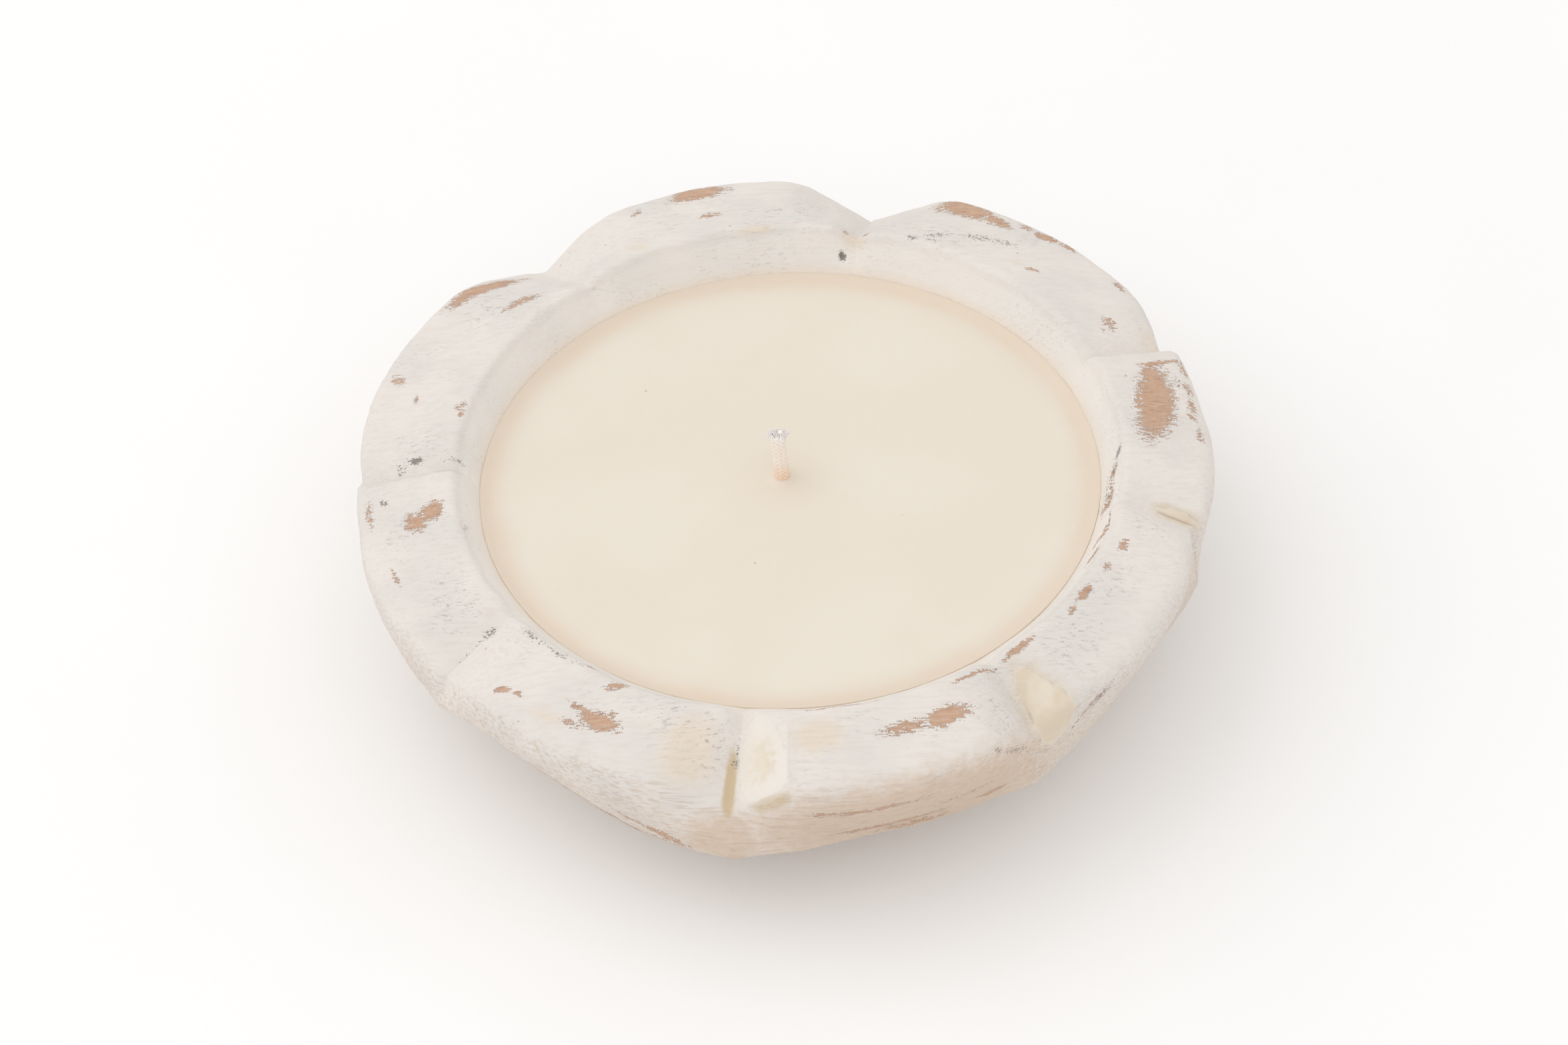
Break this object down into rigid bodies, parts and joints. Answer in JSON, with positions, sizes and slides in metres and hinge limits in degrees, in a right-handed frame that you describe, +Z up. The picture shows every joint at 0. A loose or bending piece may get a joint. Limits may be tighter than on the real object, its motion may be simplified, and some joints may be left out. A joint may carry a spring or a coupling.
{
  "type": "candle bowl",
  "caption": "Hand-carved wooden bowl shaped like an open lotus, whitewashed and worn, filled with poured cream wax and a cotton wick.",
  "frame": {"origin": "middle of the bowl's flat underside", "axes": "+Z up, the deepest groove, at the front, towards -Y, +X to the right of it"},
  "size_m": [0.1549, 0.1533, 0.0476],
  "materials": {
    "whitewashed_wood": "chalky whitewash, worn through to pale pinkish-tan wood on the crests",
    "wax": "smooth satin candle wax",
    "cotton_wick": "braided cotton, waxed",
    "wick_core": "twisted cotton core",
    "tinplate": "tin-plated pressed steel",
    "sticker": "double-sided adhesive paper",
    "filler": "pale yellow, slightly translucent filler"
  },
  "bodies": {
    "root": {"carved_bowl": "whitewashed_wood", "wax_fill": "wax", "wick_braid": "cotton_wick", "wick_core": "wick_core", "wick_sustainer": "tinplate", "sustainer_sticker": "sticker", "groove_filler_right": "filler", "groove_filler_front_right": "filler", "groove_filler_front": "filler"}
  },
  "joints": []
}
